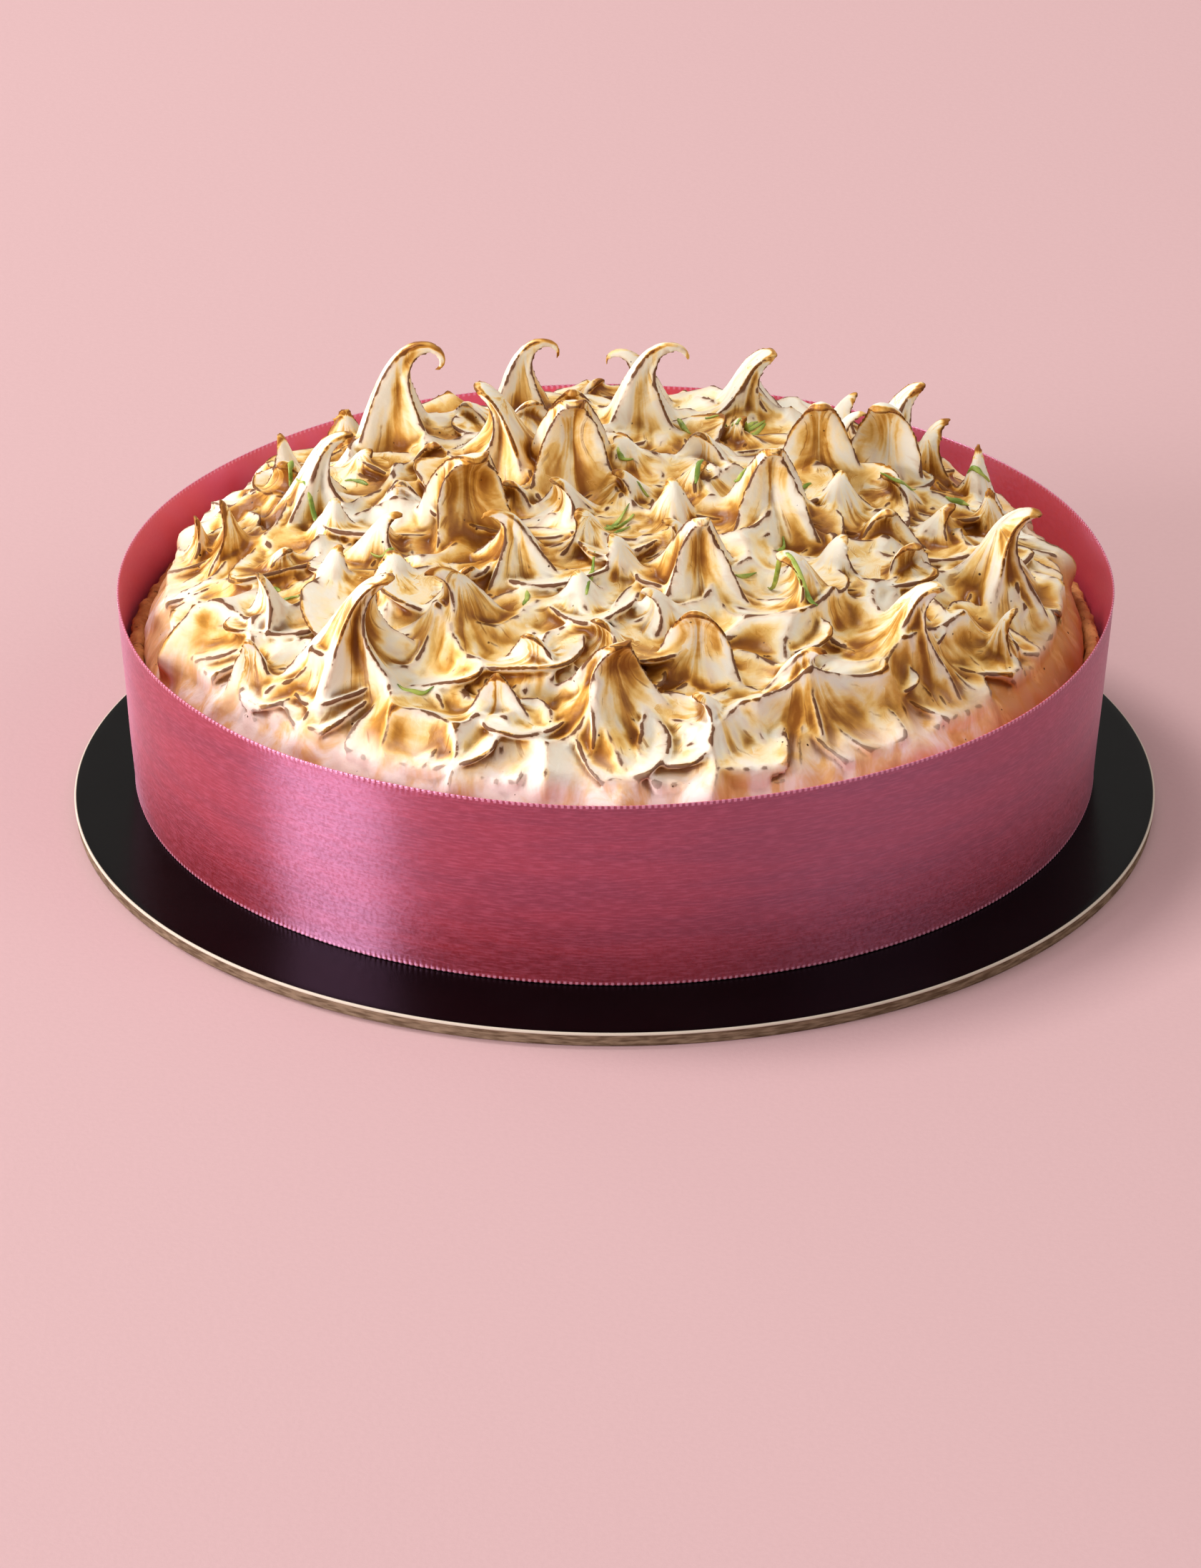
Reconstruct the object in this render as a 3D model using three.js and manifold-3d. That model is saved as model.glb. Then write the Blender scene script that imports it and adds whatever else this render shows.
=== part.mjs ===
// A ten-inch lemon meringue pie: a deep pastry case, a heap of torched meringue pulled up into
// hooked peaks with strips of lime zest lying on it, a satin ribbon wrapped round the side,
// and the round card board that it is carried on. Millimetres, +Z up, origin at the centre of
// the board's underside.
import * as THREE from "three";
import { mergeVertices } from "three/addons/utils/BufferGeometryUtils.js";
import Module from "manifold-3d";

const wasm = await Module();
wasm.setup();

// ---- Driving dimensions ----
const BOARD_RADIUS = 140;
const BOARD_THICKNESS = 3.8;
const PIE_SETBACK = 10; // the pie stands this far behind the board's centre
const RIBBON_WIDTH = 52;
const RIBBON_THICKNESS = 0.8;
const RIBBON_FOOT_RADIUS = 124; // outer face
const RIBBON_TOP_RADIUS = 128.5;
const CASE_HEIGHT = 37.2; // of the pastry case, board to rim
const CASE_WALL = 4;
const CLEARANCE = 0.4; // between one piece and the next
const HEAP_RISE = 35; // height of the bowls' floors above the rim, at the middle
const BOWL_RADIUS = 12; // of the bowls that the spoon left round each peak
const BOWL_DEPTH = 7.5;
const HIGHEST_RIDGE = 1.6; // share of a bowl's depth at which the ridges between bowls are cut off
const SHOULDER_BOWLS = 34; // a ring of bowls where the top turns down into the wall
const SHOULDER = 0.955; // share of the heap's radius that no peak or flake passes
const DROOP = 1.6; // how far what is drawn in there hangs down
const CURL = 2.8; // how late a peak's curl comes: the higher, the nearer its tip
const ZEST_WIDTH = 1.2;
const ZEST_THICKNESS = 0.9;
const ZEST_SUNK = 0.1; // into the meringue, below its middle
const FINEST_RELIEF = 0.3; // what is smaller is smoothed away, to spare triangles
const LEAST_FLAKE = 1.7; // flakes on top that are smaller than this are too fine for the solid

const FLOOR_OF_PIE = BOARD_THICKNESS;
const RIM_Z = FLOOR_OF_PIE + CASE_HEIGHT;
const CASE_FOOT_RADIUS = RIBBON_FOOT_RADIUS - RIBBON_THICKNESS - CLEARANCE;
const RIBBON_FLARE = (RIBBON_TOP_RADIUS - RIBBON_FOOT_RADIUS) / RIBBON_WIDTH;
const CASE_RIM_RADIUS = CASE_FOOT_RADIUS + RIBBON_FLARE * CASE_HEIGHT;
const HEAP_RADIUS = CASE_RIM_RADIUS - CASE_WALL - CLEARANCE;
const HEAP_FLOOR_Z = RIM_Z - 5;
const GOLDEN_ANGLE = Math.PI * (3 - Math.sqrt(5));
const TURN = 2 * Math.PI;

// ---- The main peaks, placed from the pie's axis ----
// at: foot on the plan; top: height above the table; width: half the foot's width;
// lean: the way it is pulled, 0 towards +X and 90 towards +Y; bend: how far its tip curls over;
// flutes: how many bowls stand round it.
const PEAKS = [
  { at: [-58, 60], top: 96, width: 19, lean: 0, bend: 270, flutes: 4 },
  { at: [-28, 27], top: 100, width: 25, lean: 185, bend: 75, flutes: 5 },
  { at: [-25, 84], top: 87, width: 15, lean: 0, bend: 235, flutes: 4 },
  { at: [-26, 91], top: 77, width: 9, lean: 90, bend: 20, flutes: 3 },
  { at: [7, 84], top: 84, width: 14, lean: 180, bend: 215, flutes: 3 },
  { at: [7, 58], top: 97, width: 18, lean: 0, bend: 190, flutes: 4 },
  { at: [35, 76], top: 87, width: 21, lean: 0, bend: 95, flutes: 4 },
  { at: [74, 57], top: 86, width: 19, lean: 10, bend: 85, flutes: 4 },
  { at: [60, 68], top: 79, width: 17, lean: 10, bend: 70, flutes: 3 },
  { at: [53, 31], top: 95, width: 20, lean: 275, bend: 100, flutes: 3 },
  { at: [59, 44], top: 84, width: 11, lean: 0, bend: 120, flutes: 3 },
  { at: [72, 37], top: 92, width: 19, lean: 250, bend: 110, flutes: 3 },
  { at: [82, 48], top: 79, width: 11, lean: 30, bend: 110, flutes: 3 },
  { at: [95, 36], top: 78, width: 11, lean: 90, bend: 40, flutes: 3 },
  { at: [97, 14], top: 76, width: 10, lean: 80, bend: 25, flutes: 3 },
  { at: [98, -20], top: 84, width: 22, lean: 10, bend: 125, flutes: 5 },
  { at: [40, -8], top: 100, width: 23, lean: 275, bend: 85, flutes: 4 },
  { at: [-11, 18], top: 102, width: 24, lean: 275, bend: 95, flutes: 4 },
  { at: [-77, 14], top: 91, width: 17, lean: 10, bend: 110, flutes: 4 },
  { at: [-99, 4], top: 78, width: 14, lean: 180, bend: 35, flutes: 3 },
  { at: [-107, 12], top: 70, width: 11, lean: 190, bend: 25, flutes: 3 },
  { at: [-86, 50], top: 76, width: 12, lean: 150, bend: 30, flutes: 3 },
  { at: [-71, 72], top: 73, width: 11, lean: 100, bend: 25, flutes: 3 },
  { at: [-65, -70], top: 91, width: 25, lean: 345, bend: 90, flutes: 5 },
  { at: [-39, -60], top: 88, width: 20, lean: 200, bend: 135, flutes: 3 },
  { at: [-25, -32], top: 91, width: 18, lean: 195, bend: 150, flutes: 4 },
  { at: [-38, -8], top: 98, width: 22, lean: 290, bend: 110, flutes: 4 },
  { at: [74, -60], top: 82, width: 21, lean: 5, bend: 115, flutes: 4 },
  { at: [46, -84], top: 77, width: 19, lean: -20, bend: 130, flutes: 4 },
  { at: [-87, -42], top: 79, width: 15, lean: 200, bend: 50, flutes: 3 },
  { at: [-91, -60], top: 70, width: 12, lean: 250, bend: 60, flutes: 3 },
  { at: [-29, -92], top: 75, width: 15, lean: 265, bend: 30, flutes: 3 },
  { at: [48, -48], top: 86, width: 18, lean: 190, bend: 120, flutes: 3 },
  { at: [21, -43], top: 96, width: 22, lean: 280, bend: 100, flutes: 4 },
  { at: [-1, -90], top: 83, width: 21, lean: 300, bend: 85, flutes: 4 },
  { at: [98, -46], top: 70, width: 12, lean: 0, bend: 70, flutes: 3 },
  { at: [21, -76], top: 85, width: 19, lean: 260, bend: 90, flutes: 3 },
];
const LESSER_PEAKS = 92; // places tried for them, on a sunflower spiral
const LESSER_SPACING = 17;
const LESSER_REACH = 0.82; // share of the heap's radius
const FLAKES_ROUND_SIDE = 34;
const FLAKES_ON_TOP = 64;

// ---- The strips of zest: start, middle and end of each on the plan, from the pie's axis ----
const ZEST = [
  [[-82, 17], [-78, 7], [-71, -1]],
  [[-62, -21], [-59, -23], [-56, -22]],
  [[-54, -82], [-50, -85], [-45, -84]],
  [[-4, -13], [0, -9], [4, -2]],
  [[0, -14], [2, -12], [4, -10]],
  [[-2, -9], [2, -9], [5, -5]],
  [[24, 56], [31, 58], [40, 66]],
  [[32, 50], [36, 57], [40, 65]],
  [[31, 51], [34, 61], [38, 65]],
  [[17, 57], [18, 54], [20, 50]],
  [[1, 28], [2, 26], [5, 26]],
  [[23, 14], [22, 11], [21, 7]],
  [[34, -7], [32, -5], [31, -3]],
  [[6, 6], [7, 5], [9, 5]],
  [[39, -41], [45, -52], [51, -58]],
  [[30, -41], [33, -38], [36, -36]],
  [[41, -23], [43, -20], [43, -17]],
  [[-5, -37], [-6, -46], [-7, -55]],
  [[-23, -53], [-22, -50], [-22, -47]],
  [[48, 10], [49, 14], [51, 16]],
  [[69, 17], [73, 14], [78, 20]],
  [[86, 21], [89, 20], [92, 20]],
  [[92, 38], [95, 35], [98, 36]],
  [[-84, 32], [-84, 29], [-84, 27]],
  [[-84, -31], [-82, -31], [-80, -32]],
  [[-89, -26], [-87, -26], [-85, -27]],
  [[-70, 30], [-67, 29], [-64, 26]],
];

// ---- Small helpers ----
const { lerp, smoothstep } = THREE.MathUtils;
const radians = (degrees) => (degrees * Math.PI) / 180;

/** A number from 0 to 1 that looks random but is always the same for the same two indices. */
function chance(index, channel) {
  const value = Math.sin(index * 12.9898 + channel * 78.233) * 43758.5453;
  return value - Math.floor(value);
}

/** A closed geometry as a manifold-3d solid, with corners nearer than reach merged. */
function solidOf(geometry, reach = 1e-4) {
  const bare = geometry.clone();
  bare.deleteAttribute("normal");
  bare.deleteAttribute("uv");
  const merged = mergeVertices(bare, reach);
  return new wasm.Manifold(
    new wasm.Mesh({
      numProp: 3,
      vertProperties: new Float32Array(merged.attributes.position.array),
      triVerts: new Uint32Array(merged.index.array),
    }),
  );
}

function geometryOf(solid) {
  const { vertProperties, triVerts } = solid.getMesh();
  const geometry = new THREE.BufferGeometry();
  geometry.setAttribute("position", new THREE.BufferAttribute(new Float32Array(vertProperties), 3));
  geometry.setIndex(new THREE.BufferAttribute(new Uint32Array(triVerts), 1));
  geometry.computeVertexNormals();
  return geometry;
}

/** A lathe about +Z from [radius, z] pairs that run up the outside. */
function turned(profile, segments) {
  const points = profile.map(([radius, z]) => new THREE.Vector2(radius, z));
  return new THREE.LatheGeometry(points, segments).rotateX(Math.PI / 2);
}

/** Moves every corner of a geometry by move(corner), snapped first so that the seam stays shut. */
function reshape(geometry, move) {
  const position = geometry.attributes.position;
  const corner = new THREE.Vector3();
  for (let i = 0; i < position.count; i++) {
    corner.fromBufferAttribute(position, i).multiplyScalar(1e4).round().divideScalar(1e4);
    move(corner);
    position.setXYZ(i, corner.x, corner.y, corner.z);
  }
  return geometry;
}

// ---- The board ----
function boardGeometry() {
  const bevel = 0.4;
  const profile = [
    [0, 0],
    [BOARD_RADIUS, 0],
    [BOARD_RADIUS, BOARD_THICKNESS - bevel],
    [BOARD_RADIUS - bevel, BOARD_THICKNESS],
    [0, BOARD_THICKNESS],
  ];
  return turned(profile, 96);
}

// ---- The pastry case: solid below the meringue, with a baked rim standing round it ----
function caseGeometry() {
  const rimInner = CASE_RIM_RADIUS - CASE_WALL;
  const profile = [
    [0, FLOOR_OF_PIE],
    [CASE_FOOT_RADIUS, FLOOR_OF_PIE],
    [CASE_RIM_RADIUS - 0.2, RIM_Z - 1.6],
    [CASE_RIM_RADIUS - 1.2, RIM_Z - 0.2],
    [CASE_RIM_RADIUS - 2.6, RIM_Z],
    [rimInner, RIM_Z - 1],
    [rimInner, HEAP_FLOOR_Z],
    [0, HEAP_FLOOR_Z],
  ];
  return reshape(turned(profile, 72), (corner) => {
    const angle = Math.atan2(corner.y, corner.x);
    const unevenness = 0.5 * Math.sin(7 * angle) + 0.4 * Math.sin(17 * angle + 1);
    if (corner.z > RIM_Z - 2) corner.z += unevenness;
  });
}

// ---- The ribbon: a thin band that flares a little towards the top ----
function ribbonGeometry() {
  const band = [
    [RIBBON_FOOT_RADIUS, FLOOR_OF_PIE],
    [RIBBON_TOP_RADIUS, FLOOR_OF_PIE + RIBBON_WIDTH],
    [RIBBON_TOP_RADIUS - RIBBON_THICKNESS, FLOOR_OF_PIE + RIBBON_WIDTH],
    [RIBBON_FOOT_RADIUS - RIBBON_THICKNESS, FLOOR_OF_PIE],
  ];
  return turned([...band, band[0]], 108);
}

// ---- The meringue's heap ----
/** The heap with neither bowls nor peaks: steep at the rim and flatter on top. */
function heapOutline(radius) {
  const share = Math.min(radius / HEAP_RADIUS, 0.9995);
  return RIM_Z - 1 + (HEAP_RISE + 1) * (1 - share ** 2.3) ** 0.52;
}

/** The lesser peaks that fill the room between the main ones. */
function lesserPeaks() {
  const found = [];
  for (let i = 0; i < LESSER_PEAKS; i++) {
    const radius = HEAP_RADIUS * LESSER_REACH * Math.sqrt((i + 0.5) / LESSER_PEAKS);
    const angle = i * GOLDEN_ANGLE + 1.1;
    const at = [radius * Math.cos(angle), radius * Math.sin(angle)];
    const others = [...PEAKS, ...found].map((peak) => Math.hypot(at[0] - peak.at[0], at[1] - peak.at[1]));
    if (Math.min(...others) < LESSER_SPACING) continue;
    found.push({
      at,
      top: heapOutline(radius) + 7 + 5 * chance(i, 31),
      width: 12 + 5 * chance(i, 32),
      lean: 360 * chance(i, 33),
      bend: 70 + 60 * chance(i, 34),
      flutes: 3,
    });
  }
  return found;
}

/** A peak's hollows face its lean and stand evenly round it. */
const hollowAngle = ({ lean, flutes }, k) => radians(lean) + (k * TURN) / flutes;

const LESSER = lesserPeaks();
const BOWLS_ROUND_PEAKS = [...PEAKS, ...LESSER].flatMap((peak) =>
  Array.from({ length: peak.flutes }, (_, k) => ({
    x: peak.at[0] + 0.8 * peak.width * Math.cos(hollowAngle(peak, k)),
    y: peak.at[1] + 0.8 * peak.width * Math.sin(hollowAngle(peak, k)),
  })),
);
const BOWLS_ON_SHOULDER = Array.from({ length: SHOULDER_BOWLS }, (_, k) => {
  const angle = (TURN * (k + 0.3 * chance(k, 21))) / SHOULDER_BOWLS;
  const radius = HEAP_RADIUS * (0.87 + 0.07 * chance(k, 22));
  return { x: radius * Math.cos(angle), y: radius * Math.sin(angle) };
});
const BOWLS = [...BOWLS_ROUND_PEAKS, ...BOWLS_ON_SHOULDER];

/** Height of the heap's surface: each bowl is a paraboloid, and they meet in sharp ridges. */
function heapHeight(x, y) {
  const nearest = Math.min(...BOWLS.map((bowl) => (x - bowl.x) ** 2 + (y - bowl.y) ** 2));
  const away = nearest / BOWL_RADIUS ** 2;
  const ridge = Math.min(away, HIGHEST_RIDGE) * Math.exp(-Math.max(away - HIGHEST_RIDGE, 0) / 1.2);
  const radius = Math.hypot(x, y);
  const calm = 1 - smoothstep(radius, HEAP_RADIUS * 0.86, HEAP_RADIUS * 0.99);
  return heapOutline(radius) + BOWL_DEPTH * ridge * calm;
}

function heapGeometry() {
  const rings = 11;
  const segments = 44;
  const profile = [
    [0, HEAP_FLOOR_Z],
    [HEAP_RADIUS, HEAP_FLOOR_Z],
  ];
  for (let i = 0; i <= rings; i++) {
    profile.push([HEAP_RADIUS * Math.sin((Math.PI / 2) * (1 - i / rings)) ** 0.85, RIM_Z]);
  }
  return reshape(turned(profile, segments), (corner) => {
    if (corner.z > HEAP_FLOOR_Z + 0.1) corner.z = heapHeight(corner.x, corner.y);
  });
}

// ---- The peaks ----
/** The line that a peak's axis follows: straight up at first, curling more and more. */
function peakAxis(height, bend) {
  const steps = 60;
  const curl = CURL + bend / 180;
  const out = [0];
  const up = [0];
  for (let i = 0; i < steps; i++) {
    const tilt = radians(bend) * ((i + 0.5) / steps) ** curl;
    out.push(out[i] + Math.sin(tilt));
    up.push(up[i] + Math.cos(tilt));
  }
  const scale = height / Math.max(...up);
  return (share) => {
    const step = Math.min(share, 0.9999) * steps;
    const low = Math.floor(step);
    return [
      scale * lerp(out[low], out[low + 1], step - low),
      scale * lerp(up[low], up[low + 1], step - low),
      radians(bend) * share ** curl,
    ];
  };
}

/** Draws a corner that reaches past the shoulder in, and lets it droop there. */
function keepOffWall(corner) {
  const spread = Math.hypot(corner.x, corner.y);
  const limit = SHOULDER * HEAP_RADIUS;
  if (spread < limit) return;
  corner.x *= limit / spread;
  corner.y *= limit / spread;
  corner.z = Math.max(corner.z - DROOP * (spread - limit), HEAP_FLOOR_Z + 1);
}

/** A fluted cone whose foot drapes over the heap and whose tip curls over, as a hood where it bends less. */
function peakGeometry(peak, rings, index) {
  const { at, top, width, lean, bend, flutes } = peak;
  const foot = heapOutline(Math.hypot(...at)) - 2;
  const axis = peakAxis(top - foot, bend);
  const pull = radians(lean);
  const hood = bend < 130 ? 0.4 + 0.6 * chance(index, 4) : 0;
  const blunt = 0.08 + 0.09 * hood;
  const cone = new THREE.CylinderGeometry(1, 1, 1, flutes * 2, rings).rotateX(Math.PI / 2);
  return reshape(cone, (corner) => {
    const share = corner.z + 0.5;
    const centre = Math.hypot(corner.x, corner.y) < 0.5;
    const sides = flutes * 2;
    const side = (Math.round((Math.atan2(corner.y, corner.x) / TURN) * sides) + sides) % sides;
    const hollow = side % 2 === 0 ? 0.5 : 1;
    const rounded = Math.sqrt(1 - 0.97 * share ** 10);
    const radius = centre ? 0 : width * (blunt + (1 - blunt) * (1 - share) ** 2.1) * rounded * hollow;
    const broad = 1 + 0.9 * hood * smoothstep(share, 0.15, 0.7);
    const [out, up, tilt] = axis(share);
    const forward = (radius * Math.cos((side * Math.PI) / flutes)) / broad;
    const aside = radius * Math.sin((side * Math.PI) / flutes) * broad;
    const reach = out + forward * Math.cos(tilt);
    corner.set(
      at[0] + reach * Math.cos(pull) - aside * Math.sin(pull),
      at[1] + reach * Math.sin(pull) + aside * Math.cos(pull),
      foot + up - forward * Math.sin(tilt),
    );
    const spread = Math.hypot(corner.x, corner.y);
    corner.z += (heapOutline(spread) - heapOutline(Math.hypot(...at))) * (1 - share) ** 2;
    keepOffWall(corner);
  });
}

// ---- The flakes: thin petals that the spoon pushed up ----
function flakePlaces() {
  const round = Array.from({ length: FLAKES_ROUND_SIDE }, (_, i) => ({
    radius: HEAP_RADIUS * (0.85 + 0.06 * chance(i, 42)),
    angle: (TURN * (i + 0.7 * chance(i, 41))) / FLAKES_ROUND_SIDE,
    swing: 60 * (chance(i, 43) - 0.5),
    size: 1.2 + 0.45 * chance(i, 47),
  }));
  const onTop = Array.from({ length: FLAKES_ON_TOP }, (_, i) => {
    const radius = HEAP_RADIUS * 0.88 * Math.sqrt((i + 0.5) / FLAKES_ON_TOP);
    const unruly = 150 * (chance(i, 44) - 0.5) + 120 * (1 - radius / HEAP_RADIUS) * (chance(i, 45) - 0.5);
    const size = (1.15 + 0.75 * chance(i, 46)) * (1 - 0.3 * smoothstep(radius / HEAP_RADIUS, 0.6, 0.88));
    return { radius, angle: i * GOLDEN_ANGLE + 2.4, swing: unruly, size };
  });
  return [...round, ...onTop.filter(({ size }) => size > LEAST_FLAKE)];
}

/** A spoon-shaped flake: sunk at its root, with a lip that stands up along its lower edge. */
function flakeGeometry({ radius, angle, swing, size }, index) {
  const gap = 0.2;
  const fall = (heapOutline(radius - gap) - heapOutline(radius + gap)) / (2 * gap);
  const outward = new THREE.Vector3(Math.cos(angle), Math.sin(angle), 0);
  const anchor = outward.clone().multiplyScalar(radius).setZ(heapOutline(radius));
  const normal = outward.clone().multiplyScalar(fall).setZ(1).normalize();
  const downhill = outward.clone().addScaledVector(normal, -outward.dot(normal)).normalize();
  const forward = downhill.applyAxisAngle(normal, radians(swing));
  const side = normal.clone().cross(forward);
  const length = size * (9 + 3 * chance(index, 51));
  const breadth = size * (7 + 4 * chance(index, 52));
  const lip = size * (1.3 + 1.6 * chance(index, 53));
  return reshape(new THREE.IcosahedronGeometry(1, 0), (corner) => {
    const { x: along, y: across, z: level } = corner;
    const reach = Math.min(Math.hypot(along, across), 1);
    const front = Math.min(Math.max((along + 0.3) / 1.3, 0), 1);
    const rise = lip * front ** 2 + 1.5 * size * reach ** 2 + 0.5;
    const thick = level > 0 ? 0 : 1.1 + 6 * (1 - reach ** 2);
    corner
      .copy(anchor)
      .addScaledVector(forward, length * along + 1.5 * size * front ** 3)
      .addScaledVector(side, breadth * across * (1 - 0.15 * along))
      .addScaledVector(normal, rise - thick - 1.2 * (1 - front));
    keepOffWall(corner);
  });
}

/** Heap, peaks and flakes as one body: the largest, without what a fold of the surface shut in. */
function bareMeringue() {
  const pieces = [
    heapGeometry(),
    ...PEAKS.map((peak, i) => peakGeometry(peak, peak.bend > 140 ? 6 : 3, i)),
    ...LESSER.map((peak, i) => peakGeometry(peak, 2, PEAKS.length + i)),
    ...flakePlaces().map(flakeGeometry),
  ];
  return largestBody(wasm.Manifold.union(pieces.map((piece) => solidOf(piece))).simplify(FINEST_RELIEF));
}

/** The largest body of a solid, without the hollows that crossing shapes shut in. */
function largestBody(solid) {
  return solid.decompose().reduce((a, b) => (a.volume() > b.volume() ? a : b));
}

// ---- The zest ----
/** A strip that follows a bent way over the meringue, sunk into it by half its thickness. */
function zestGeometry([start, middle, end], surface) {
  const rings = 3;
  const sides = 3;
  const way = new THREE.QuadraticBezierCurve(
    new THREE.Vector2(...start),
    new THREE.Vector2(2 * middle[0] - (start[0] + end[0]) / 2, 2 * middle[1] - (start[1] + end[1]) / 2),
    new THREE.Vector2(...end),
  );
  const caster = new THREE.Raycaster();
  const down = new THREE.Vector3(0, 0, -1);
  const heights = Array.from({ length: rings + 1 }, (_, i) => {
    const { x, y } = way.getPoint(i / rings);
    caster.set(new THREE.Vector3(x, y, 200), down);
    return caster.intersectObject(surface)[0].point.z;
  });
  const strip = new THREE.CylinderGeometry(1, 1, 1, sides, rings).rotateX(Math.PI / 2);
  return reshape(strip, (corner) => {
    const step = Math.round((corner.z + 0.5) * rings);
    const place = way.getPoint(step / rings);
    const ahead = way.getTangent(step / rings);
    const width = (ZEST_WIDTH / 2) * (step % rings === 0 ? 0.6 : 1);
    const across = Math.abs(corner.x) < 1e-3 ? 0 : corner.x * width;
    const above = Math.abs(corner.y) < 1e-3 ? 0 : (corner.y * ZEST_THICKNESS) / 2;
    corner.set(place.x - across * ahead.y, place.y + across * ahead.x, heights[step] + above - ZEST_SUNK);
  });
}

function meringueSolid() {
  const bare = bareMeringue();
  const surface = new THREE.Mesh(geometryOf(bare), new THREE.MeshBasicMaterial());
  const strips = ZEST.map((way) => solidOf(zestGeometry(way, surface)));
  const dressed = largestBody(wasm.Manifold.union([bare, ...strips]));
  return largestBody(solidOf(geometryOf(dressed), 1e-3));
}

// ---- Assembly ----
const finish = (color, roughness) => new THREE.MeshStandardMaterial({ color, roughness, metalness: 0 });

const pie = new THREE.Group();
const onBoard = new THREE.Group();
onBoard.position.y = PIE_SETBACK;
pie.add(onBoard);

function add(parent, name, geometry, material) {
  const mesh = new THREE.Mesh(geometry, material);
  mesh.name = name;
  parent.add(mesh);
}

add(pie, "cake_board", boardGeometry(), finish(0x14110f, 0.25));
add(onBoard, "pastry_case", caseGeometry(), finish(0xb9752f, 0.8));
add(onBoard, "ribbon", ribbonGeometry(), finish(0xb8406c, 0.35));
add(onBoard, "meringue", geometryOf(meringueSolid()), finish(0xf3dfb4, 0.45));

export default pie;
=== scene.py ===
"""A ten-inch lemon meringue pie with torched peaks and lime zest, wrapped in satin ribbon on a card board."""

import math

import bmesh
import bpy
import numpy as np
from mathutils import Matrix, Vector
from mathutils.bvhtree import BVHTree


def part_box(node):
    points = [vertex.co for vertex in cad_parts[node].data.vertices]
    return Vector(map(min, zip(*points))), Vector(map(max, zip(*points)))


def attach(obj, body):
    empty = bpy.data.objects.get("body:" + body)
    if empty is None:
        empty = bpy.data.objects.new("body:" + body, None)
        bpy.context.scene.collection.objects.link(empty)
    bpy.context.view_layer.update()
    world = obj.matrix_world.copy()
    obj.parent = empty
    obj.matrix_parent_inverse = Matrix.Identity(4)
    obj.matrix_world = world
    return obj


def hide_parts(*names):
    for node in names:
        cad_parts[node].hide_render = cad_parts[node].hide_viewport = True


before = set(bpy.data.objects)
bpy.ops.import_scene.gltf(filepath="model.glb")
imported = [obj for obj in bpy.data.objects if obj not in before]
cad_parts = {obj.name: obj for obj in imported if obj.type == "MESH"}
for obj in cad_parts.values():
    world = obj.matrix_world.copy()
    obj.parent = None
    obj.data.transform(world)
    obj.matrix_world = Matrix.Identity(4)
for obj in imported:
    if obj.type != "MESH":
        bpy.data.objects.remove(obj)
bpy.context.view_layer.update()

MM = 0.001
TURN = 2 * math.pi
GOLDEN_ANGLE = math.pi * (3 - math.sqrt(5))
DOWN = Vector((0, 0, -1))

# ---- Sizes, in metres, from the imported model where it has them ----
BOARD_LOW, BOARD_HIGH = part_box("cake_board")
RIBBON_LOW, RIBBON_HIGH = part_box("ribbon")
CASE_LOW, CASE_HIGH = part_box("pastry_case")
PIE_SETBACK = (RIBBON_LOW.y + RIBBON_HIGH.y) / 2

RIBBON_FOOT_RADIUS = 124 * MM
RIBBON_TOP_RADIUS = RIBBON_HIGH.x
RIBBON_WIDTH = RIBBON_HIGH.z - RIBBON_LOW.z
RIBBON_SHEET = 0.4 * MM
RIBBON_LAP = 24 * MM  # its end lies that far over its start
RIBBON_MIDDLE = (RIBBON_FOOT_RADIUS + RIBBON_TOP_RADIUS) / 2
RIBBON_ROUND = TURN * RIBBON_MIDDLE
STITCH = 1.5 * MM
STITCHES = round((RIBBON_ROUND + RIBBON_LAP) / STITCH)
RIBBON_COLUMNS = 4 * STITCHES
RIBBON_ROWS = 21
LAP_RISE = 0.55 * MM
RIBBON_WAVE = 0.35 * MM  # how far its top edge wavers
PUCKER = 0.14 * MM
HEM = 0.4 * MM

CLEARANCE = 0.4 * MM
CASE_WALL = 4 * MM
CASE_RIM_RADIUS = CASE_HIGH.x
CASE_FOOT_RADIUS = RIBBON_FOOT_RADIUS - 1.2 * MM
RIM_Z = BOARD_HIGH.z + 37.2 * MM

HEAP_RADIUS = CASE_RIM_RADIUS - CASE_WALL - CLEARANCE
HEAP_FLOOR_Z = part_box("meringue")[0].z
HEAP_RISE = 35 * MM  # height of the bowls' floors above the rim, at the middle
BOWL_RADIUS = 12 * MM
BOWL_DEPTH = 7.5 * MM
HIGHEST_RIDGE = 1.6  # share of a bowl's depth at which the ridges between bowls are cut off
SHOULDER_BOWLS = 34  # a ring of bowls where the top turns down into the wall
SHOULDER = 0.955  # share of the heap's radius that no peak or flake passes
DROOP = 1.6  # how far what is drawn in there hangs down
STROKE_DEPTH = 0.4 * MM
CREST_LEAN = 3.2 * MM
PEAK_SIDES = 48
PEAK_RINGS = 32
PEAK_SINK = 2 * MM
CURL = 2.8  # how late a peak's curl comes: the higher, the nearer its tip
FLAKES_ON_TOP = 64
FLAKES_ROUND_SIDE = 34
SKIN_VOXEL = 0.6 * MM
SKIN_TRIANGLES = 195000
STREAKS = 2.6  # how many streaks fan out from a peak
WALL_END = 52 * MM, 60 * MM  # heights between which the pale wall gives way to the torched top
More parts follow.
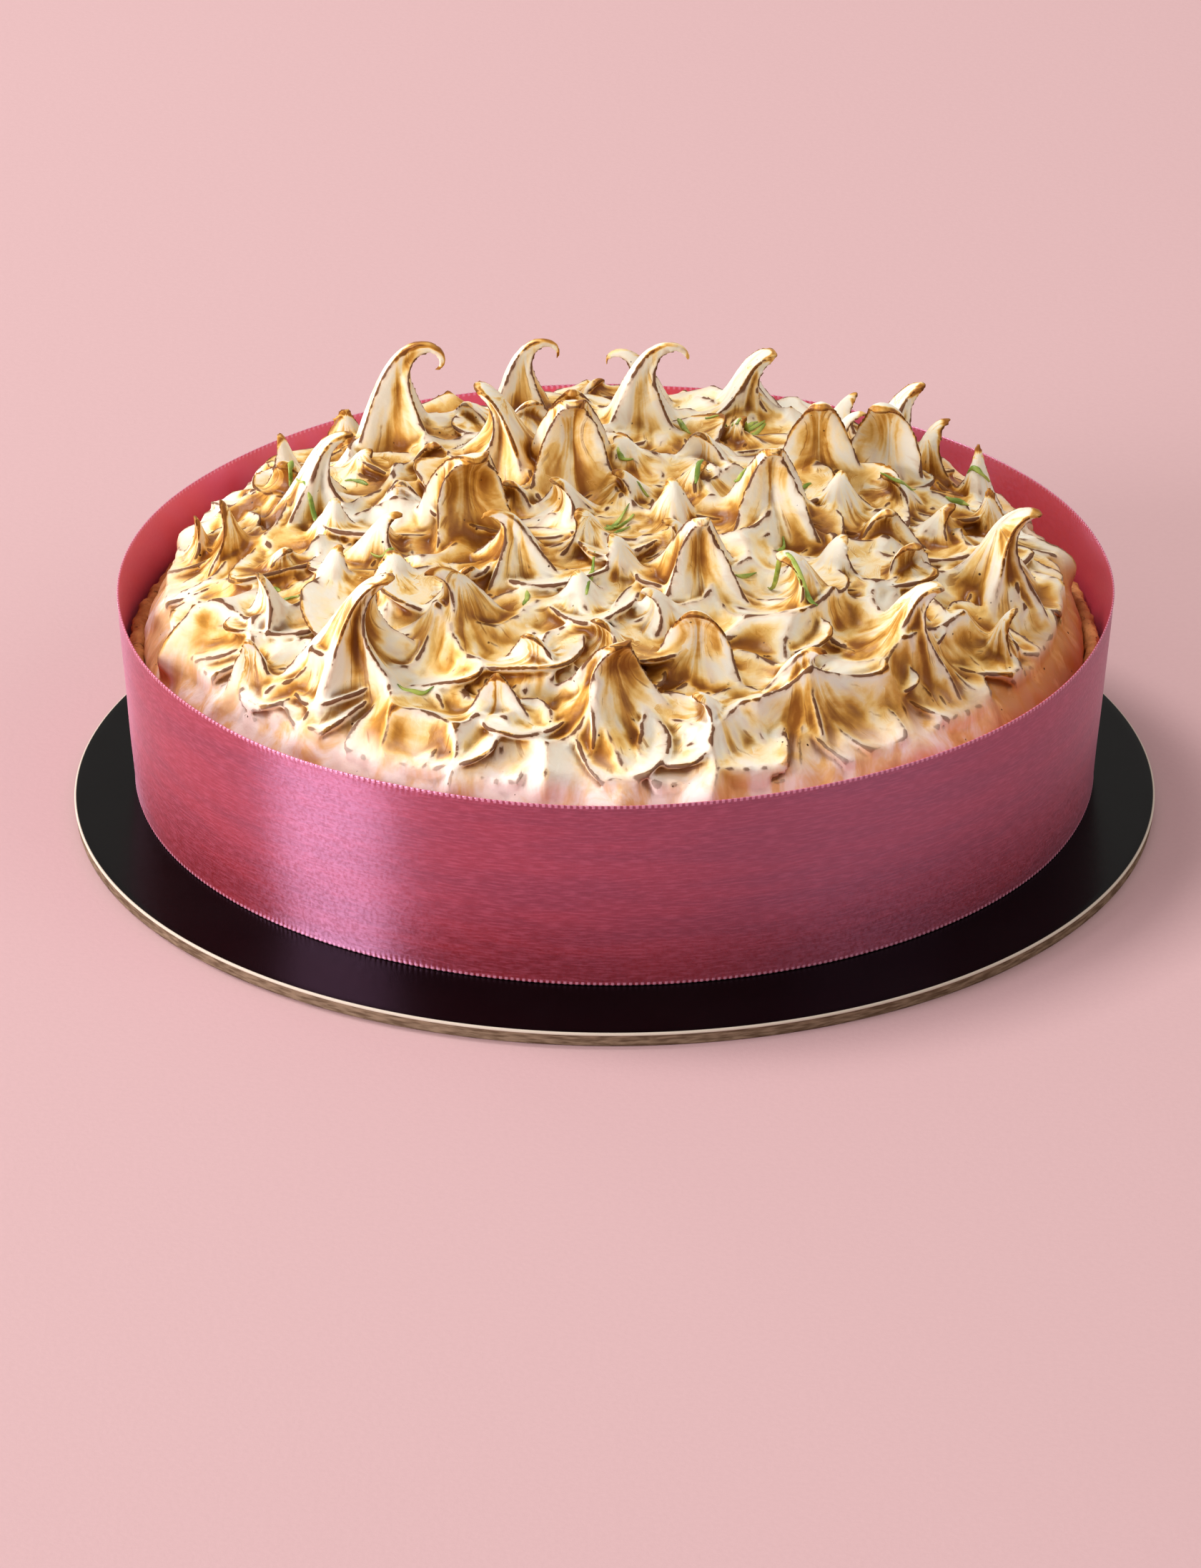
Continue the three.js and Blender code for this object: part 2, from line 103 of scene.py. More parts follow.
# colours as on a screen, from what the flame missed to what it browned most
TOASTED = [
    (0.0, (230, 224, 208)),
    (0.22, (238, 220, 178)),
    (0.45, (229, 191, 116)),
    (0.7, (197, 143, 60)),
    (1.0, (136, 80, 22)),
]
# Colours of the wall that the flame missed, from pale to smeared brown; the pale pink of the lightest stops
# is painted reflection of the ribbon and the pink floor.
BARE_WALL = [
    (0.0, (244, 234, 232)),
    (0.48, (242, 222, 216)),
    (0.62, (230, 178, 118)),
    (0.8, (190, 120, 50)),
]
ZEST_RINGS = 22
ZEST_SIDES = 8
ZEST_SAG = 0.3 * MM
ZEST_LIFT = 0.12 * MM
ABOVE_ALL = 0.2

FLOOR_SIZE = 12
LOOK_AT = Vector((-0.0015, 0, 0.0031))
ELEVATION = math.radians(26.25)
CAMERA_DISTANCE = 2.3
LENS = 203.4  # in millimetres, for a 36 mm sensor
ROLL = 0.12  # in degrees
ROOM_LIGHT = 0.6
# name, way to the lamp, its distance and width, its power in watts and its colour
LAMPS = [
    ("key", (-0.42, 0.35, 0.84), 3.0, 0.9, 52, (1, 0.98, 0.95)),
    ("window", (-0.86, -0.4, 0.2), 2.6, 1.3, 86, (1, 0.97, 1)),
    ("far_window", (-0.62, 0.78, 0.10), 2.2, 0.35, 7, (1, 0.96, 1)),
    ("fill", (0.75, -0.35, 0.7), 3.2, 2.0, 16, (1, 0.97, 0.97)),
]

# ---- The main peaks, in millimetres and degrees ----
# place on the plan, height above the table, half width of the foot, way of the pull, bend, flutes
PEAKS = [
    ((-58, 60), 96, 19, 0, 270, 4),
    ((-28, 27), 100, 25, 185, 75, 5),
    ((-25, 84), 87, 15, 0, 235, 4),
    ((-26, 91), 77, 9, 90, 20, 3),
    ((7, 84), 84, 14, 180, 215, 3),
    ((7, 58), 97, 18, 0, 190, 4),
    ((35, 76), 87, 21, 0, 95, 4),
    ((74, 57), 86, 19, 10, 85, 4),
    ((60, 68), 79, 17, 10, 70, 3),
    ((53, 31), 95, 20, 275, 100, 3),
    ((59, 44), 84, 11, 0, 120, 3),
    ((72, 37), 92, 19, 250, 110, 3),
    ((82, 48), 79, 11, 30, 110, 3),
    ((95, 36), 78, 11, 90, 40, 3),
    ((97, 14), 76, 10, 80, 25, 3),
    ((98, -20), 84, 22, 10, 125, 5),
    ((40, -8), 100, 23, 275, 85, 4),
    ((-11, 18), 102, 24, 275, 95, 4),
    ((-77, 14), 91, 17, 10, 110, 4),
    ((-99, 4), 78, 14, 180, 35, 3),
    ((-107, 12), 70, 11, 190, 25, 3),
    ((-86, 50), 76, 12, 150, 30, 3),
    ((-71, 72), 73, 11, 100, 25, 3),
    ((-65, -70), 91, 25, 345, 90, 5),
    ((-39, -60), 88, 20, 200, 135, 3),
    ((-25, -32), 91, 18, 195, 150, 4),
    ((-38, -8), 98, 22, 290, 110, 4),
    ((74, -60), 82, 21, 5, 115, 4),
    ((46, -84), 77, 19, -20, 130, 4),
    ((-87, -42), 79, 15, 200, 50, 3),
    ((-91, -60), 70, 12, 250, 60, 3),
    ((-29, -92), 75, 15, 265, 30, 3),
    ((48, -48), 86, 18, 190, 120, 3),
    ((21, -43), 96, 22, 280, 100, 4),
    ((-1, -90), 83, 21, 300, 85, 4),
    ((98, -46), 70, 12, 0, 70, 3),
    ((21, -76), 85, 19, 260, 90, 3),
]
LESSER_PEAKS = 92
LESSER_SPACING = 17
LESSER_REACH = 0.82

# ways of the strips of zest over the plan, in millimetres from the middle of the board
ZEST = [
    [(-82, 27), (-78, 17), (-71, 9)],
    [(-62, -11), (-59, -13), (-56, -12)],
    [(-54, -72), (-50, -75), (-45, -74)],
    [(-4, -3), (0, 1), (4, 8)],
    [(0, -4), (2, -2), (4, 0)],
    [(-2, 1), (2, 1), (5, 5)],
    [(24, 66), (31, 68), (40, 76)],
    [(32, 60), (36, 67), (40, 75)],
    [(31, 61), (34, 71), (38, 75)],
    [(17, 67), (18, 64), (20, 60)],
    [(1, 38), (2, 36), (5, 36)],
    [(23, 24), (22, 21), (21, 17)],
    [(34, 3), (32, 5), (31, 7)],
    [(6, 16), (7, 15), (9, 15)],
    [(39, -31), (45, -42), (51, -48)],
    [(30, -31), (33, -28), (36, -26)],
    [(41, -13), (43, -10), (43, -7)],
    [(-5, -27), (-6, -36), (-7, -45)],
    [(-23, -43), (-22, -40), (-22, -37)],
    [(48, 20), (49, 24), (51, 26)],
    [(69, 27), (73, 24), (78, 30)],
    [(86, 31), (89, 30), (92, 30)],
    [(92, 48), (95, 45), (98, 46)],
    [(-84, 42), (-84, 39), (-84, 37)],
    [(-84, -21), (-82, -21), (-80, -22)],
    [(-89, -16), (-87, -16), (-85, -17)],
    [(-70, 40), (-67, 39), (-64, 36)],
]


# ---- The meringue's shape ----
def chance(index, channel):
    """A number from 0 to 1 that looks random but is always the same for the same two indices."""
    value = math.sin(index * 12.9898 + channel * 78.233) * 43758.5453
    return value - math.floor(value)


def between(low, high, index, channel):
    """A number from low to high that is always the same for the same two indices."""
    return low + (high - low) * chance(index, channel)


def smooth_share(value, low, high):
    """Goes smoothly from 0 to 1 as the value goes from low to high."""
    share = np.clip((value - low) / (high - low), 0, 1)
    return share * share * (3 - 2 * share)


def heap_outline(radius):
    """Height of the heap with neither bowls nor peaks: steep at the rim and flatter on top."""
    share = np.clip(radius / HEAP_RADIUS, 0, 0.9995)
    return RIM_Z - 1 * MM + (HEAP_RISE + 1 * MM) * (1 - share**2.3) ** 0.52


def lesser_peaks():
    """The lesser peaks that fill the room between the main ones."""
    found = []
    for i in range(LESSER_PEAKS):
        radius = HEAP_RADIUS / MM * LESSER_REACH * math.sqrt((i + 0.5) / LESSER_PEAKS)
        angle = i * GOLDEN_ANGLE + 1.1
        at = (radius * math.cos(angle), radius * math.sin(angle))
        if min(math.dist(at, peak[0]) for peak in PEAKS + found) < LESSER_SPACING:
            continue
        top = heap_outline(radius * MM) / MM + between(7, 12, i, 31)
        width = between(12, 17, i, 32)
        found.append((at, top, width, between(0, 360, i, 33), between(70, 130, i, 34), 3))
    return found


LESSER = lesser_peaks()


def waves(points, size, seed):
    """Smooth unevenness from about -1 to 1 with bumps of about that size, from a few crossed waves."""
    total = np.zeros(len(points))
    for k in range(5):
        heading = TURN * chance(seed, k)
        climb = between(-0.8, 0.8, seed, k + 10)
        stride = size * between(0.7, 1.3, seed, k + 20)
        step = np.array((math.cos(heading), math.sin(heading), climb)) * TURN / stride
        total += np.sin(points @ step + TURN * chance(seed, k + 30))
    return total / 2.6


def on_outline(plan):
    """Points of the plain heap above those of the plan, and its normals there."""
    radius = np.maximum(np.linalg.norm(plan, axis=1), 1e-6)
    gap = 0.2 * MM
    fall = (heap_outline(radius - gap) - heap_outline(radius + gap)) / (2 * gap)
    normals = np.column_stack([plan / radius[:, None] * fall[:, None], np.ones(len(plan))])
    normals /= np.linalg.norm(normals, axis=1)[:, None]
    return np.column_stack([plan, heap_outline(radius)]), normals


def bowls():
    """Centres of the bowls that stand round each peak, on the plain heap."""
    centres = []
    for at, _top, width, lean, _bend, flutes in PEAKS + LESSER:
        for k in range(flutes):
            angle = math.radians(lean) + k * TURN / flutes
            centres.append((at[0] + 0.8 * width * math.cos(angle), at[1] + 0.8 * width * math.sin(angle)))
    for k in range(SHOULDER_BOWLS):
        angle = TURN * (k + 0.3 * chance(k, 21)) / SHOULDER_BOWLS
        radius = HEAP_RADIUS / MM * between(0.87, 0.94, k, 22)
        centres.append((radius * math.cos(angle), radius * math.sin(angle)))
    return on_outline(np.array(centres) * MM)[0]


def strokes_round_peaks(points):
    """Fine ridges that fan out from each peak, where the spoon left it."""
    feet = on_outline(np.array([peak[0] for peak in PEAKS + LESSER]) * MM)[0]
    nearest = np.full(len(points), np.inf)
    owner = np.zeros(len(points), int)
    for index, foot in enumerate(feet):
        away = ((points - foot) ** 2).sum(1)
        owner = np.where(away < nearest, index, owner)
        nearest = np.minimum(nearest, away)
    away = np.sqrt(nearest)
    offset = points - feet[owner]
    around = np.arctan2(offset[:, 1], offset[:, 0])
    count = 7 + (owner * 5) % 5
    ridge = 1 - np.abs(np.sin(around * count + owner * 2.1 + away / MM * 0.06)) * 2
    return ridge * smooth_share(away, 3 * MM, 9 * MM) * (1 - smooth_share(away, 12 * MM, 24 * MM))


BOWLS = bowls()


def heap_surface(plan):
    """The heap's surface over the plan: bowls that meet in sharp, leaning ridges above a calm wall."""
    points, normals = on_outline(plan)
    bend = np.column_stack([waves(points, 30 * MM, seed) for seed in (1, 2, 3)])
    bent = points + 2.2 * MM * bend
    nearest = np.full(len(plan), np.inf)
    for centre in BOWLS:
        nearest = np.minimum(nearest, ((bent - centre) ** 2).sum(1))
    away = nearest / BOWL_RADIUS**2
    ridge = np.minimum(away, HIGHEST_RIDGE) * np.exp(-np.maximum(away - HIGHEST_RIDGE, 0) / 1.2)
    radius = np.linalg.norm(plan, axis=1)
    edge = radius + 2.5 * MM * waves(points, 26 * MM, 4)
    torched = 1 - smooth_share(edge, 0.9 * HEAP_RADIUS, 0.985 * HEAP_RADIUS)
    relief = BOWL_DEPTH * ridge + STROKE_DEPTH * strokes_round_peaks(bent)
    lean = np.column_stack([waves(points, 60 * MM, seed) for seed in (5, 6, 7)])
    lean += 0.7 * np.column_stack([plan / HEAP_RADIUS, -radius / HEAP_RADIUS])
    lean -= normals * (lean * normals).sum(1)[:, None]
    crest = (ridge / HIGHEST_RIDGE) ** 2
    smears = 0.35 * MM * waves(points * (1, 1, 0.25), 7 * MM, 8) * (1 - torched)
    moved = points + normals * (relief * torched + smears)[:, None]
    return moved + CREST_LEAN * lean * (crest * torched)[:, None]


def corners_of(mesh):
    co = np.empty(len(mesh.vertices) * 3, np.float32)
    mesh.vertices.foreach_get("co", co)
    return co.reshape(-1, 3).astype(float)


def put_corners(mesh, corners):
    mesh.vertices.foreach_set("co", np.ascontiguousarray(corners, np.float32).ravel())
    mesh.update()


def ball_mesh(name, subdivisions):
    bm = bmesh.new()
    bmesh.ops.create_icosphere(bm, subdivisions=subdivisions, radius=1)
    mesh = bpy.data.meshes.new(name)
    bm.to_mesh(mesh)
    bm.free()
    return mesh


def heap_mesh():
    """A fine ball pressed into the heap: its upper half is the surface and its lower half the floor."""
    mesh = ball_mesh("heap", 8)
    ball = corners_of(mesh)
    across = np.linalg.norm(ball[:, :2], axis=1)
    # The ball's own spacing draws the rings closer together towards the rim.
    reach = HEAP_RADIUS * np.minimum(across, 1) ** 0.9
    plan = ball[:, :2] / np.maximum(across, 1e-9)[:, None] * reach[:, None]
    surface = heap_surface(plan)
    floor = np.column_stack([plan, np.full(len(plan), HEAP_FLOOR_Z)])
    put_corners(mesh, np.where(ball[:, 2:] > 1e-6, surface, floor))
    return mesh


def peak_axis(height, bend):
    """Places and tilts along a peak's axis, straight up at first and curling more and more."""
    steps = 60
    share = (np.arange(steps) + 0.5) / steps
    curl = CURL + bend / 180
    tilt = math.radians(bend) * share**curl
    out = np.concatenate([[0], np.cumsum(np.sin(tilt))])
    up = np.concatenate([[0], np.cumsum(np.cos(tilt))])
    scale = height / up.max()
    knots = np.linspace(0, 1, steps + 1)

    def at(s):
        return np.interp(s, knots, out) * scale, np.interp(s, knots, up) * scale, math.radians(bend) * s**curl

    return at


def blank_tube(name, sides, rings):
    """A closed upright tube of unit radius and height with even rings."""
    bm = bmesh.new()
    bmesh.ops.create_circle(bm, cap_ends=True, segments=sides, radius=1)
    loop = list(bm.edges)
    for _ in range(rings):
        grown = bmesh.ops.extrude_edge_only(bm, edges=loop)["geom"]
        lifted = {item for item in grown if isinstance(item, bmesh.types.BMVert)}
        bmesh.ops.translate(bm, verts=list(lifted), vec=(0, 0, 1 / rings))
        loop = [e for e in grown if isinstance(e, bmesh.types.BMEdge) and lifted.issuperset(e.verts)]
    bmesh.ops.contextual_create(bm, geom=loop)
    bmesh.ops.recalc_face_normals(bm, faces=bm.faces)
    mesh = bpy.data.meshes.new(name)
    bm.to_mesh(mesh)
    bm.free()
    return mesh


def kept_off_wall(corners):
    """Draws in what reaches past the shoulder, and lets it droop there."""
    spread = np.hypot(corners[:, 0], corners[:, 1])
    limit = SHOULDER * HEAP_RADIUS
    corners[:, :2] *= np.minimum(1, limit / spread)[:, None]
    drooped = corners[:, 2] - DROOP * np.maximum(spread - limit, 0)
    corners[:, 2] = np.where(spread > limit, np.maximum(drooped, HEAP_FLOOR_Z + 1 * MM), corners[:, 2])
    return corners


def peak_corners(blank, index, peak):
    """A fluted cone draped over the heap, with a tip that curls over and a hollow on the side it leans to."""
    at, top, width, lean, bend, flutes = peak
    place = np.array(at) * MM
    ground = heap_outline(np.linalg.norm(place))
    foot = ground - PEAK_SINK
    axis = peak_axis(top * MM - foot, bend)
    pull = math.radians(lean)
    share = np.clip(blank[:, 2], 0, 1)
    around = np.arctan2(blank[:, 1], blank[:, 0])
    # Flutes, deeper on the side that the peak leans to, and fine strokes that wind up it.
    within = np.mod(around * flutes / TURN + 0.5, 1)
    depth = 0.48 + 0.24 * np.cos(around) * smooth_share(share, 0.1, 0.5)
    hollow = 1 - depth * np.sin(math.pi * within) ** 0.8
    count = 8 + math.floor(5 * chance(index, 2))
    fine = np.abs(np.sin(around * count / 2 + 4 * share + TURN * chance(index, 3)))
    strokes = 1 + 0.1 * (0.6 - fine) * smooth_share(share, 0, 0.2)
    # A peak that bends little is a broad, blunt hood. The others are hooks.
    hood = (bend < 130) * between(0.4, 1, index, 4)
    blunt = 0.08 + 0.09 * hood
    rounded = np.sqrt(1 - 0.97 * share**10)
    radius = width * MM * (blunt + (1 - blunt) * (1 - share) ** 2.1) * rounded * hollow * strokes
    out, up, tilt = axis(share)
    broad = 1 + 0.9 * hood * smooth_share(share, 0.15, 0.7)
    forward = radius * np.cos(around) / broad
    aside = radius * np.sin(around) * broad
    # Each ring is set on the curling axis, and the rings near the foot drape over the heap.
    reach = out + forward * np.cos(tilt)
    x = place[0] + reach * math.cos(pull) - aside * math.sin(pull)
    y = place[1] + reach * math.sin(pull) + aside * math.cos(pull)
    z = foot + up - forward * np.sin(tilt)
    spread = np.hypot(x, y)
    z += (heap_outline(spread) - ground) * (1 - share) ** 2
    return kept_off_wall(np.column_stack([x, y, z]))


def flake_places():
    """Where the spoon pushed up a flake: a row round the side and the rest all over the heap."""
    places = []
    for i in range(FLAKES_ROUND_SIDE):
        angle = TURN * (i + 0.7 * chance(i, 41)) / FLAKES_ROUND_SIDE
        radius = HEAP_RADIUS * between(0.85, 0.91, i, 42)
        places.append((radius, angle, between(-30, 30, i, 43), between(1.2, 1.65, i, 47)))
    for i in range(FLAKES_ON_TOP):
        share = 0.88 * math.sqrt((i + 0.5) / FLAKES_ON_TOP)
        angle = i * GOLDEN_ANGLE + 2.4
        swing = between(-75, 75, i, 44) + (1 - share) * between(-60, 60, i, 45)
        size = between(1.15, 1.9, i, 46) * (1 - 0.3 * smooth_share(share, 0.6, 0.88))
        places.append((HEAP_RADIUS * share, angle, swing, size))
    return places


def flake_corners(ball, index, place):
    """A spoon-shaped flake: sunk at its root, with a thin lip that stands up along its lower edge."""
    radius, angle, swing, size = place
    plan = np.array([[radius * math.cos(angle), radius * math.sin(angle)]])
    anchor, normal = (row[0] for row in on_outline(plan))
    outward = np.array((math.cos(angle), math.sin(angle), 0))
    downhill = outward - normal * (outward @ normal)
    downhill /= np.linalg.norm(downhill)
    aside = np.cross(normal, downhill)
    turn = math.radians(swing)
    forward = math.cos(turn) * downhill + math.sin(turn) * aside
    side = np.cross(normal, forward)
    length = size * between(9, 12, index, 51) * MM
    breadth = size * between(7, 11, index, 52) * MM
    lip = size * between(1.3, 2.9, index, 53) * MM
    # The ball becomes a thin shell whose front rises to a ragged lip.
    along, across, level = ball.T
    reach = np.minimum(np.hypot(along, across), 1)
    front = np.clip((along + 0.3) / 1.3, 0, 1)
    ragged = 1 + 0.1 * np.sin(3 * np.arctan2(across, along) + TURN * chance(index, 54)) * reach
    rise = lip * front**2 + 1.5 * MM * size * reach**2 + 0.5 * MM
    thick = 1.1 * MM + 6 * MM * (1 - reach**2)
    height = rise - np.where(level > 0, 0, thick) - 1.2 * MM * (1 - front)
    ahead = length * along * ragged + 1.5 * MM * size * front**3
    corners = (
        anchor
        + forward * ahead[:, None]
        + side * (breadth * across * ragged * (1 - 0.15 * along))[:, None]
        + normal * height[:, None]
    )
    return kept_off_wall(corners)


def joined_meringue():
    joined = bmesh.new()
    joined.from_mesh(heap_mesh())
    peaks = blank_tube("blank_peak", PEAK_SIDES, PEAK_RINGS), peak_corners, PEAKS + LESSER
    flakes = ball_mesh("blank_flake", 4), flake_corners, flake_places()
    for blank, shape, rows in (peaks, flakes):
        template = corners_of(blank)
        for index, row in enumerate(rows):
            put_corners(blank, shape(template, index, row))
            joined.from_mesh(blank)
    mesh = bpy.data.meshes.new("meringue_parts")
    joined.to_mesh(mesh)
    joined.free()
    return mesh


def add_object(name, data):
    obj = bpy.data.objects.new(name, data)
    bpy.context.scene.collection.objects.link(obj)
    return obj


def evaluated(obj):
    graph = bpy.context.evaluated_depsgraph_get()
    return bpy.data.meshes.new_from_object(obj.evaluated_get(graph))


def neighbour_mean(values, edges, count):
    """Each corner's values averaged over the corners that it shares an edge with."""
    total = np.column_stack([
        np.bincount(edges[:, 0], values[edges[:, 1], axis], count)
        + np.bincount(edges[:, 1], values[edges[:, 0], axis], count)
        for axis in range(values.shape[1])
    ])
    shared = np.bincount(edges.ravel(), minlength=count)
    return total / np.maximum(shared, 1)[:, None]


def edges_of(mesh):
    ends = np.empty(len(mesh.edges) * 2, np.int32)
    mesh.edges.foreach_get("vertices", ends)
    return ends.reshape(-1, 2)


def normals_of(mesh):
    normals = np.empty(len(mesh.vertices) * 3, np.float32)
    mesh.vertices.foreach_get("normal", normals)
    return normals.reshape(-1, 3).astype(float)


def store(mesh, name, values):
    attribute = mesh.attributes.new(name, "FLOAT", "POINT")
    attribute.data.foreach_set("value", np.ascontiguousarray(values, np.float32).ravel())


def fill_creases(mesh, rounds):
    """Rounds the hollow creases where shapes meet, and leaves every ridge sharp."""
    edges = edges_of(mesh)
    corners = corners_of(mesh)
    for _ in range(rounds):
        pull = neighbour_mean(corners, edges, len(corners)) - corners
        normals = normals_of(mesh)
        outward = (pull * normals).sum(1)
        corners = corners + pull * np.where(outward > 0, 0.6, 0.06)[:, None]
        put_corners(mesh, corners)


def measure_relief(mesh):
    """Stores how far each corner stands out: rim as on an edge, spine as on the middle line of one,
    fold as on a petal, crest as between bowls and tip as at the end of a peak."""
    edges = edges_of(mesh)
    corners = corners_of(mesh)
    normals = normals_of(mesh)
    smooth = corners
    for step in range(1, 91):
        smooth = neighbour_mean(smooth, edges, len(corners))
        if step == 4:
            rim = ((corners - smooth) * normals).sum(1)[:, None] / MM
            for _ in range(3):
                rim = neighbour_mean(rim, edges, len(corners))
            store(mesh, "rim", rim)
            wide = rim
            for _ in range(8):
                wide = neighbour_mean(wide, edges, len(corners))
            store(mesh, "spine", rim - wide)
        if step == 24:
            store(mesh, "fold", ((corners - smooth) * normals).sum(1) / MM)
    store(mesh, "crest", ((corners - smooth) * normals).sum(1) / MM)
    store(mesh, "tip", np.linalg.norm(corners - smooth, axis=1) / MM)


def measure_flow(mesh):
    """Stores where each corner lies round the nearest peak, for streaks that run down from its tip."""
    corners = corners_of(mesh)
    nearest = np.full(len(corners), np.inf)
    second = np.full(len(corners), np.inf)
    owner = np.zeros(len(corners), int)
    for index, (at, _top, width, _lean, _bend, _flutes) in enumerate(PEAKS + LESSER):
        away = np.hypot(corners[:, 0] - at[0] * MM, corners[:, 1] - at[1] * MM) / (width * MM)
        second = np.minimum(second, np.maximum(nearest, away))
        owner = np.where(away < nearest, index, owner)
        nearest = np.minimum(nearest, away)
    feet = np.array([peak[0] for peak in PEAKS + LESSER]) * MM
    offset = corners[:, :2] - feet[owner]
    away = np.hypot(offset[:, 0], offset[:, 1])
    heading = offset / np.maximum(away, 1e-6)[:, None]
    # The heading makes the streaks, and the last number sets one peak's streaks off from the next's.
    fan = np.column_stack([STREAKS * heading, owner * 7.3 + 0.09 * away / MM])
    attribute = mesh.attributes.new("fan", "FLOAT_VECTOR", "POINT")
    attribute.data.foreach_set("vector", np.ascontiguousarray(fan, np.float32).ravel())
    store(mesh, "apart", smooth_share(second - nearest, 0.02, 0.35))


def meringue_mesh():
    """Heap, peaks and flakes under one skin that carries the measures its finish is painted by."""
    parts = add_object("meringue_parts", joined_meringue())
    remesh = parts.modifiers.new("one_skin", "REMESH")
    remesh.mode = "VOXEL"
    remesh.voxel_size = SKIN_VOXEL
    skin = evaluated(parts)
    bpy.data.objects.remove(parts)
    fill_creases(skin, 5)
    measure_relief(skin)
    measure_flow(skin)
    corners = corners_of(skin)
    corners[:, 1] += PIE_SETBACK
    put_corners(skin, corners)
    whole = add_object("meringue_skin", skin)
    fewer = whole.modifiers.new("fewer", "DECIMATE")
    fewer.ratio = SKIN_TRIANGLES / (2 * len(skin.polygons))
    mesh = evaluated(whole)
    bpy.data.objects.remove(whole)
    mesh.shade_smooth()
    return mesh


# ---- Materials as Python ----
class Value:
    """A shader socket that Python's operators act on, each by adding a Math node."""

    def __init__(self, shader, socket):
        self.shader = shader
        self.socket = socket

    def _math(self, operation, *inputs):
        return self.shader.node("ShaderNodeMath", {"operation": operation}, dict(enumerate(inputs)))

    def __add__(self, other):
        return self._math("ADD", self, other)

    def __sub__(self, other):
        return self._math("SUBTRACT", self, other)

    def __mul__(self, other):
        return self._math("MULTIPLY", self, other)

    def __rsub__(self, other):
        return self._math("SUBTRACT", other, self)

    def most(self, other):
        return self._math("MAXIMUM", self, other)

    def least(self, other):
        return self._math("MINIMUM", self, other)

    def cosine(self):
        return self._math("COSINE", self)

    def step(self, low, high, start=0.0, end=1.0):
        """Goes smoothly from start to end as the value goes from low to high."""
        return self.shader.node(
            "ShaderNodeMapRange",
            {"interpolation_type": "SMOOTHSTEP", "clamp": True},
            {"Value": self, "From Min": low, "From Max": high, "To Min": start, "To Max": end},
        )


class Shader:
    """A material whose nodes are written as Python."""

    def __init__(self, name, **constants):
        self.material = bpy.data.materials.new(name)
        self.material.use_nodes = True
        self.tree = self.material.node_tree
        self.finish = self.tree.nodes["Principled BSDF"]
        for socket, value in constants.items():
            self.finish.inputs[socket.replace("_", " ")].default_value = value

    def node(self, kind, settings=None, inputs=None, output=0):
        made = self.tree.nodes.new(kind)
        for key, value in (settings or {}).items():
            setattr(made, key, value)
        for key, value in (inputs or {}).items():
            socket = made.inputs[key]
            if isinstance(value, Value):
                self.tree.links.new(value.socket, socket)
            else:
                socket.default_value = value
        return Value(self, made.outputs[output])

    def place(self):
        return self.node("ShaderNodeTexCoord", output="Object")

    def attribute(self, name):
        return self.node("ShaderNodeAttribute", {"attribute_name": name}, output="Fac")

    def vector(self, name):
        return self.node("ShaderNodeAttribute", {"attribute_name": name}, output="Vector")

    def scaled(self, vector, scale):
        return self.node("ShaderNodeVectorMath", {"operation": "MULTIPLY"}, {0: vector, 1: scale})

    def noise(self, vector, size, detail=3.0, rough=0.5, warp=0.0):
        """Cloudy noise from 0 to 1 with features of about that size in metres."""
        inputs = {"Vector": vector, "Scale": 1 / size, "Detail": detail, "Roughness": rough}
        inputs["Distortion"] = warp
        return self.node("ShaderNodeTexNoise", None, inputs, "Fac")

    def mix(self, share, first, second):
        """first where share is 0 and second where it is 1; both are colours or links to them."""
        first, second = ((*c, 1) if isinstance(c, tuple) else c for c in (first, second))
        return self.node("ShaderNodeMix", {"data_type": "RGBA"}, {0: share, 6: first, 7: second}, 2)

    def ramp(self, value, stops):
        """Colours that follow the value; each stop is a value and a colour as it looks on a screen."""
        made = self.node("ShaderNodeValToRGB", None, {0: value})
        elements = made.socket.node.color_ramp.elements
        while len(elements) < len(stops):
            elements.new(0.5)
        for element, (place, colour) in zip(elements, stops):
            element.position = place
            element.color = (*screen_colour(*colour), 1)
        return made

    def bump(self, height, depth):
        return self.node("ShaderNodeBump", None, {"Height": height, "Distance": depth})

    def feed(self, **links):
        for socket, value in links.items():
            self.tree.links.new(value.socket, self.finish.inputs[socket.replace("_", " ")])
        return self.material


def screen_colour(red, green, blue):
    """A colour given as it looks on a screen, from 0 to 255, as the linear light that shaders take."""
    shares = (channel / 255 for channel in (red, green, blue))
    return tuple(c / 12.92 if c <= 0.04045 else ((c + 0.055) / 1.055) ** 2.4 for c in shares)


